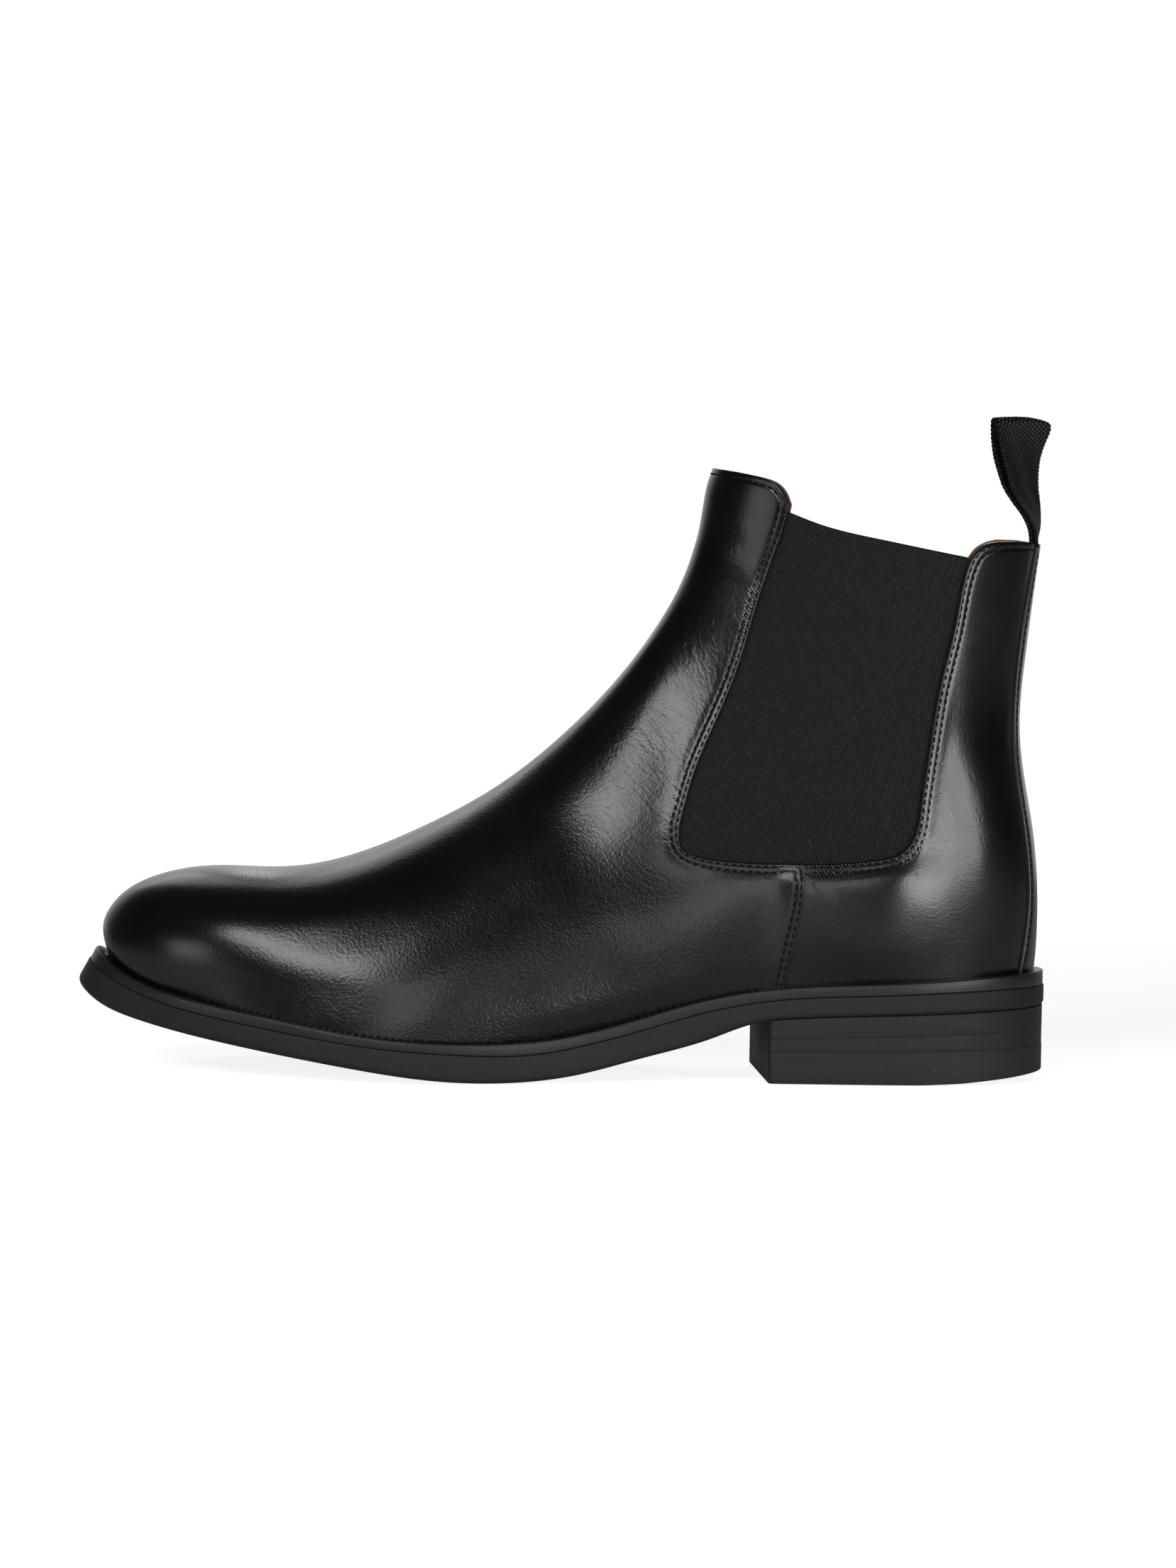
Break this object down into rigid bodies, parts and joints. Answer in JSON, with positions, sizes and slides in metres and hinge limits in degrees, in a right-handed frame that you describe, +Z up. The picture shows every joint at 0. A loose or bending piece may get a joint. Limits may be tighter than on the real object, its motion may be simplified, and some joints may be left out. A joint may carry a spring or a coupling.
{
  "type": "chelsea boot",
  "caption": "Ankle-high pull-on leather boot with side elastic gussets, a woven pull loop at the back, a stitched welt and a low stacked heel",
  "frame": {"origin": "middle of the bounding box's footprint, on the floor that the ball of the sole and the heel stand on", "axes": "+X from toe to heel, +Y towards the inner (medial) side of the foot, +Z up"},
  "size_m": [0.3001, 0.105, 0.2045],
  "materials": {
    "calf": "semi-gloss fine grain",
    "elastic": "matte ribbed",
    "lining": "satin",
    "board": "matte",
    "cork": "matte",
    "steel": "satin",
    "sole_rubber": "matte",
    "welt_strip": "satin",
    "webbing": "matte twill",
    "thread": "satin",
    "stiffener": "matte"
  },
  "bodies": {
    "foot": {"outsole": "sole_rubber", "heel_lift_upper": "sole_rubber", "heel_lift_lower": "sole_rubber", "heel_top_piece": "sole_rubber", "welt": "welt_strip", "cork_filler": "cork", "shank": "steel", "insole": "board", "sock_liner": "lining", "heel_nails": "steel", "toe_puff": "stiffener", "heel_counter": "stiffener", "interlining": "stiffener", "vamp": "calf", "quarter_lateral": "calf", "quarter_medial": "calf", "backstay": "calf", "gusset_lateral": "elastic", "gusset_medial": "elastic", "vamp_lining": "lining", "quarter_lining": "lining", "welt_stitching": "thread", "vamp_stitching": "thread", "quarter_stitching": "thread", "backstay_stitching": "thread"},
    "rear_leg": {"leg_quarter_lateral": "calf", "leg_quarter_medial": "calf", "leg_backstay": "calf", "leg_lining": "lining", "leg_interlining": "stiffener", "pull_tab_tail": "webbing", "leg_stitching": "thread", "leg_backstay_stitching": "thread"},
    "tab": {"pull_tab": "webbing"}
  },
  "joints": [
    {"name": "shaft_spread", "type": "hinge", "parent": "foot", "child": "rear_leg", "pos_m": [0.145, 0, 0.0918], "axis": [0, 1, 0], "range_deg": [0, 10], "stiffness_Nm_per_rad": 6, "deforming": ["gusset_lateral", "gusset_medial"]},
    {"name": "tab_fold", "type": "hinge", "parent": "rear_leg", "child": "tab", "pos_m": [0.1452, 0, 0.1676], "axis": [0, 1, 0], "range_deg": [-70, 70], "stiffness_Nm_per_rad": 0.02}
  ]
}
